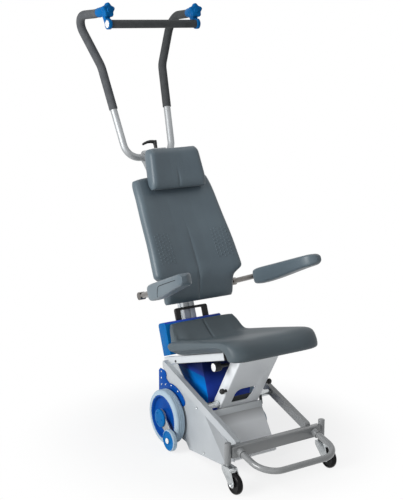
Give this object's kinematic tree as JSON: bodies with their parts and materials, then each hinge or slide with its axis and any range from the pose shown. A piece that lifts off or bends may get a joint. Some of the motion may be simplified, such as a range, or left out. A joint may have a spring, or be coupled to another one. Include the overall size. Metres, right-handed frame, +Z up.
{
  "type": "stair climbing chair",
  "caption": "Patient transport chair with a powered stair climbing base, main wheels, castors, reclined foam seat, lifting armrests and a folding push handle.",
  "frame": {"origin": "on the floor, under the middle of the bounding box", "axes": "+Z up, the sitter faces -Y, the sitter's right is -X"},
  "size_m": [0.6012, 1.234, 1.6429],
  "materials": {
    "silver": "satin anodised",
    "painted_grey": "powder coated silver grey",
    "zinc": "bright zinc plated",
    "blue_metal": "blue powder coated",
    "blue_plastic": "blue moulded, satin",
    "foam_grip": "closed cell foam, matte",
    "pad": "self skinned foam, satin",
    "black": "moulded, satin",
    "tyre": "non-marking grey rubber, matte"
  },
  "bodies": {
    "chassis": {"wheel_axle_right": "silver", "wheel_axle_left": "silver", "mast": "silver", "mast_head": "silver", "back_bracket_upper": "silver", "back_bracket_lower": "silver", "armrest_axle": "silver", "front_frame": "painted_grey", "footrest_bar": "painted_grey", "side_rail_right": "painted_grey", "side_rail_left": "painted_grey", "side_plate_right": "painted_grey", "side_bracket_left": "painted_grey", "lower_shield": "painted_grey", "support_panel": "painted_grey", "seat_rail_right": "painted_grey", "seat_rail_left": "painted_grey", "panel_shaft": "zinc", "wheel_guard_right": "blue_metal", "wheel_guard_left": "blue_metal", "drive_housing": "blue_plastic", "battery_pack": "blue_plastic", "seat_pad": "pad", "backrest_pad": "pad", "panel_stop_bar": "black", "carry_handle": "black", "backrest_shell": "black"},
    "main_wheel_right": {"tyre_right": "tyre", "rim_right": "blue_metal"},
    "main_wheel_left": {"tyre_left": "tyre", "rim_left": "blue_metal"},
    "climb_drive": {"climb_shaft": "zinc", "climb_crank_right": "silver", "climb_crank_left": "silver"},
    "climbing_wheel_right": {"climb_wheel_right": "blue_plastic"},
    "climbing_wheel_left": {"climb_wheel_left": "blue_plastic"},
    "castor_right": {"castor_fork_right": "zinc"},
    "castor_roller_right": {"castor_wheel_right": "black"},
    "castor_left": {"castor_fork_left": "zinc"},
    "castor_roller_left": {"castor_wheel_left": "black"},
    "armrest_right": {"armrest_arm_right": "silver", "armrest_pad_right": "pad"},
    "armrest_left": {"armrest_arm_left": "silver", "armrest_pad_left": "pad"},
    "headrest": {"headrest_pad": "pad", "headrest_rods": "zinc"},
    "handle": {"handle_tube": "silver", "push_bar": "foam_grip", "grip_sleeve_right": "foam_grip", "grip_sleeve_left": "foam_grip", "bar_clamp_right": "blue_plastic", "bar_clamp_left": "blue_plastic"},
    "knob_right": {"clamp_knob_right": "blue_plastic"},
    "knob_left": {"clamp_knob_left": "blue_plastic"},
    "head_lever": {"clamp_lever": "black"},
    "panel_lock": {"lock_knob": "black"}
  },
  "joints": [
    {"name": "main_wheel_right_spin", "type": "hinge", "parent": "chassis", "child": "main_wheel_right", "pos_m": [-0.1683, 0.0208, 0.105], "axis": [1, 0, 0], "continuous": true},
    {"name": "main_wheel_left_spin", "type": "hinge", "parent": "chassis", "child": "main_wheel_left", "pos_m": [0.1683, 0.0208, 0.105], "axis": [1, 0, 0], "continuous": true},
    {"name": "climb_drive_turn", "type": "hinge", "parent": "chassis", "child": "climb_drive", "pos_m": [0, 0.0208, 0.105], "axis": [1, 0, 0], "continuous": true},
    {"name": "climbing_wheel_right_spin", "type": "hinge", "parent": "climb_drive", "child": "climbing_wheel_right", "pos_m": [-0.2057, -0.0622, 0.0458], "axis": [1, 0, 0], "continuous": true},
    {"name": "climbing_wheel_left_spin", "type": "hinge", "parent": "climb_drive", "child": "climbing_wheel_left", "pos_m": [0.2057, -0.0622, 0.0458], "axis": [1, 0, 0], "continuous": true},
    {"name": "castor_right_swivel", "type": "hinge", "parent": "chassis", "child": "castor_right", "pos_m": [-0.204, -0.4452, 0.1], "axis": [0, 0, 1], "continuous": true},
    {"name": "castor_roller_right_spin", "type": "hinge", "parent": "castor_right", "child": "castor_roller_right", "pos_m": [-0.204, -0.4912, 0.0375], "axis": [1, 0, 0], "continuous": true},
    {"name": "castor_left_swivel", "type": "hinge", "parent": "chassis", "child": "castor_left", "pos_m": [0.204, -0.4452, 0.1], "axis": [0, 0, 1], "continuous": true},
    {"name": "castor_roller_left_spin", "type": "hinge", "parent": "castor_left", "child": "castor_roller_left", "pos_m": [0.204, -0.4912, 0.0375], "axis": [1, 0, 0], "continuous": true},
    {"name": "armrest_right_lift", "type": "hinge", "parent": "chassis", "child": "armrest_right", "pos_m": [0, 0.1351, 0.5595], "axis": [-1, 0, 0], "range_deg": [0, 95]},
    {"name": "armrest_left_lift", "type": "hinge", "parent": "chassis", "child": "armrest_left", "pos_m": [0, 0.1351, 0.5595], "axis": [-1, 0, 0], "range_deg": [0, 95]},
    {"name": "headrest_height", "type": "slide", "parent": "chassis", "child": "headrest", "axis": [0, 0.3453, 0.9385], "range_m": [0, 0.06]},
    {"name": "handle_fold", "type": "hinge", "parent": "chassis", "child": "handle", "pos_m": [0, 0.4215, 1.0423], "axis": [-1, 0, 0], "range_deg": [-10, 110]},
    {"name": "knob_right_turn", "type": "hinge", "parent": "handle", "child": "knob_right", "pos_m": [-0.1954, 0.3924, 1.614], "axis": [0.1173, -0.982, 0.1478], "range_deg": [0, 360]},
    {"name": "knob_left_turn", "type": "hinge", "parent": "handle", "child": "knob_left", "pos_m": [0.1954, 0.3924, 1.614], "axis": [-0.1173, -0.982, 0.1478], "range_deg": [0, 360]},
    {"name": "head_lever_turn", "type": "hinge", "parent": "chassis", "child": "head_lever", "pos_m": [0, 0.3744, 1.0767], "axis": [0, 0.3453, 0.9385], "range_deg": [-60, 60]},
    {"name": "panel_lock_pull", "type": "slide", "parent": "chassis", "child": "panel_lock", "axis": [-1, 0, 0], "range_m": [0, 0.008]}
  ]
}
